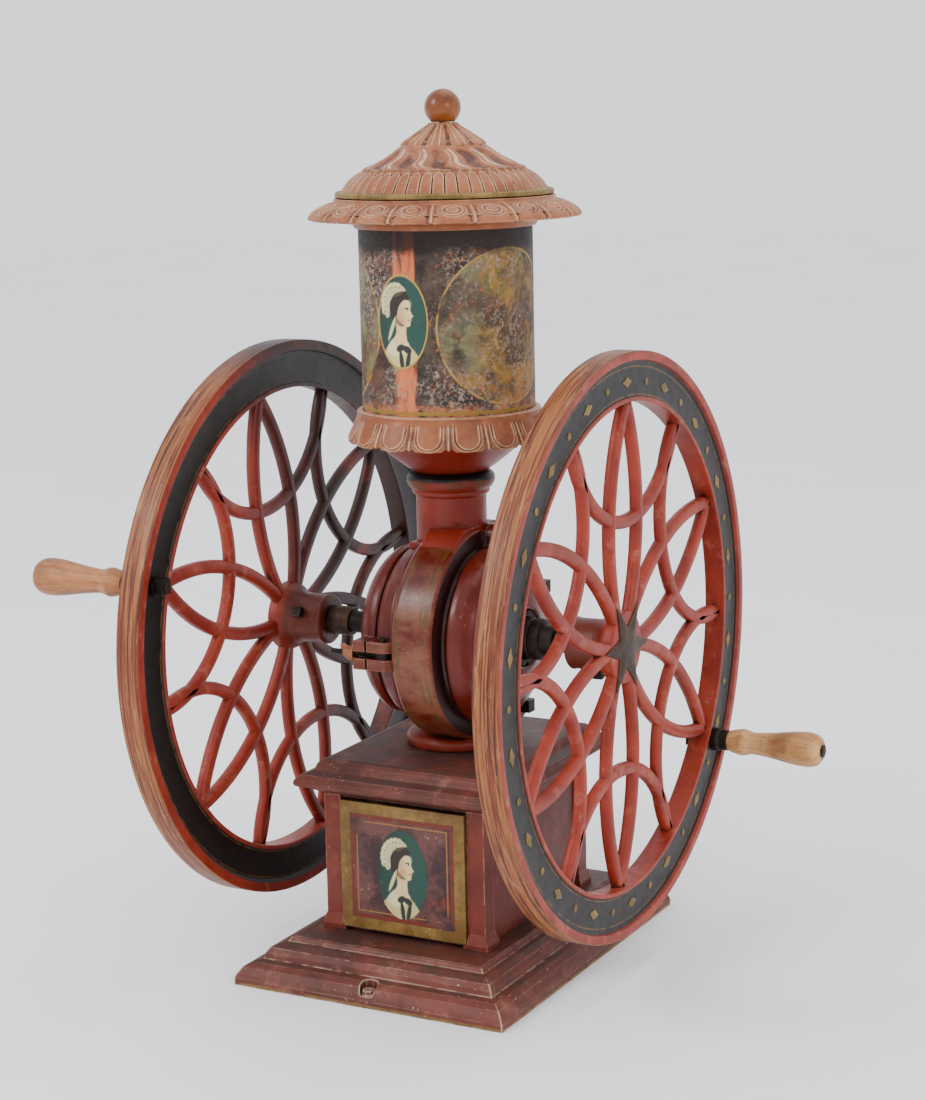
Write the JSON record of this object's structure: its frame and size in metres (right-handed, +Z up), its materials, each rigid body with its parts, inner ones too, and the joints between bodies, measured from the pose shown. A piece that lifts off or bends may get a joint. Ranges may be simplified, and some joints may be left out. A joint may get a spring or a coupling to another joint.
{
  "type": "two-wheel coffee grinder mill",
  "caption": "Cast-iron coffee mill with large spoked flywheels, a round covered hopper, a grinding drum with clamped covers and a drawer pedestal.",
  "frame": {"origin": "on the ground, straight below the middle of the axle", "axes": "+X along the axle to the right-hand wheel, -Y to the drawer front, +Z up"},
  "size_m": [0.681, 0.61, 0.9233],
  "materials": {
    "red_paint": "worn satin red oil paint over cast iron",
    "base_paint": "worn red-brown oil paint over cast iron, dusty",
    "copper_paint": "worn copper-salmon bronze paint over cast iron",
    "hopper_paint": "worn charcoal japanned sheet iron with painted ornament",
    "drawer_paint": "worn dark paint with gilt border",
    "dark_iron": "oiled dark iron",
    "bronze_iron": "dark bronzed iron",
    "bead_brass": "tarnished brass",
    "bush_brass": "plain brass",
    "bright_steel": "worn steel",
    "drawer_tin": "dull tinned sheet",
    "grip_wood": "worn varnished hardwood"
  },
  "bodies": {
    "stand": {"base_plinth": "base_paint", "pedestal_case": "red_paint", "top_plate": "base_paint", "tie_rod_1": "dark_iron", "tie_rod_2": "dark_iron", "tie_rod_3": "dark_iron", "tie_rod_4": "dark_iron", "foot_screw_1": "dark_iron", "foot_screw_2": "dark_iron", "foot_screw_3": "dark_iron", "foot_screw_4": "dark_iron", "mill_body": "red_paint", "left_cover": "red_paint", "right_cover": "red_paint", "left_bush": "bush_brass", "feed_trough": "dark_iron", "fixed_burr": "bright_steel", "cover_bolt_1": "dark_iron", "cover_bolt_2": "dark_iron", "cover_bolt_3": "dark_iron", "front_pivot_pin": "dark_iron", "rear_pivot_pin": "dark_iron", "hopper_bowl": "red_paint", "hopper_skirt": "copper_paint", "hopper_cylinder": "hopper_paint", "hopper_brim": "copper_paint"},
    "drawer": {"drawer_box": "drawer_tin", "drawer_front": "drawer_paint"},
    "lid": {"lid": "copper_paint", "lid_bead_ring": "bead_brass", "finial": "copper_paint"},
    "axle": {"shaft": "dark_iron", "shaft_collar": "bronze_iron", "feed_auger": "dark_iron", "return_spring": "bright_steel", "rotating_burr": "bright_steel", "right_wheel": "red_paint", "left_wheel": "red_paint", "right_hub_star": "bronze_iron", "left_hub_star": "bronze_iron", "right_set_screw": "dark_iron", "left_set_screw": "dark_iron", "right_spindle": "dark_iron", "right_spindle_nut": "dark_iron", "right_spindle_washer": "dark_iron", "left_spindle": "dark_iron", "left_spindle_nut": "dark_iron", "left_spindle_washer": "dark_iron"},
    "right_handle": {"right_ferrule": "dark_iron", "right_grip": "grip_wood"},
    "left_handle": {"left_ferrule": "dark_iron", "left_grip": "grip_wood"},
    "adjuster": {"adjusting_sleeve": "dark_iron", "right_bush": "bush_brass"},
    "lock_ring": {"lock_ring": "dark_iron"},
    "front_bolt": {"front_swing_bolt": "dark_iron"},
    "rear_bolt": {"rear_swing_bolt": "dark_iron"},
    "front_nut": {"front_wing_nut": "red_paint"},
    "rear_nut": {"rear_wing_nut": "red_paint"}
  },
  "joints": [
    {"name": "axle_turn", "type": "hinge", "parent": "stand", "child": "axle", "pos_m": [0, 0, 0.3544], "axis": [1, 0, 0], "continuous": true},
    {"name": "right_handle_spin", "type": "hinge", "parent": "axle", "child": "right_handle", "pos_m": [0.28, 0.22881, 0.20006], "axis": [1, 0, 0], "continuous": true},
    {"name": "left_handle_spin", "type": "hinge", "parent": "axle", "child": "left_handle", "pos_m": [-0.28, -0.26293, 0.43831], "axis": [1, 0, 0], "continuous": true},
    {"name": "drawer_slide", "type": "slide", "parent": "stand", "child": "drawer", "axis": [0, -1, 0], "range_m": [0, 0.17]},
    {"name": "lid_lift", "type": "slide", "parent": "stand", "child": "lid", "axis": [0, 0, 1], "range_m": [0, 0.15]},
    {"name": "adjuster_turn", "type": "hinge", "parent": "stand", "child": "adjuster", "pos_m": [0.095, 0, 0.3544], "axis": [1, 0, 0], "range_deg": [-180, 180]},
    {"name": "lock_ring_turn", "type": "hinge", "parent": "stand", "child": "lock_ring", "pos_m": [0.089, 0, 0.3544], "axis": [1, 0, 0], "range_deg": [0, 60]},
    {"name": "front_bolt_swing", "type": "hinge", "parent": "stand", "child": "front_bolt", "pos_m": [-0.023, -0.104, 0.3475], "axis": [0, 0, 1], "range_deg": [0, 95]},
    {"name": "rear_bolt_swing", "type": "hinge", "parent": "stand", "child": "rear_bolt", "pos_m": [-0.023, 0.104, 0.3475], "axis": [0, 0, -1], "range_deg": [0, 95]},
    {"name": "front_nut_spin", "type": "hinge", "parent": "front_bolt", "child": "front_nut", "pos_m": [-0.06, -0.104, 0.3475], "axis": [-1, 0, 0], "continuous": true},
    {"name": "rear_nut_spin", "type": "hinge", "parent": "rear_bolt", "child": "rear_nut", "pos_m": [-0.06, 0.104, 0.3475], "axis": [-1, 0, 0], "continuous": true}
  ]
}
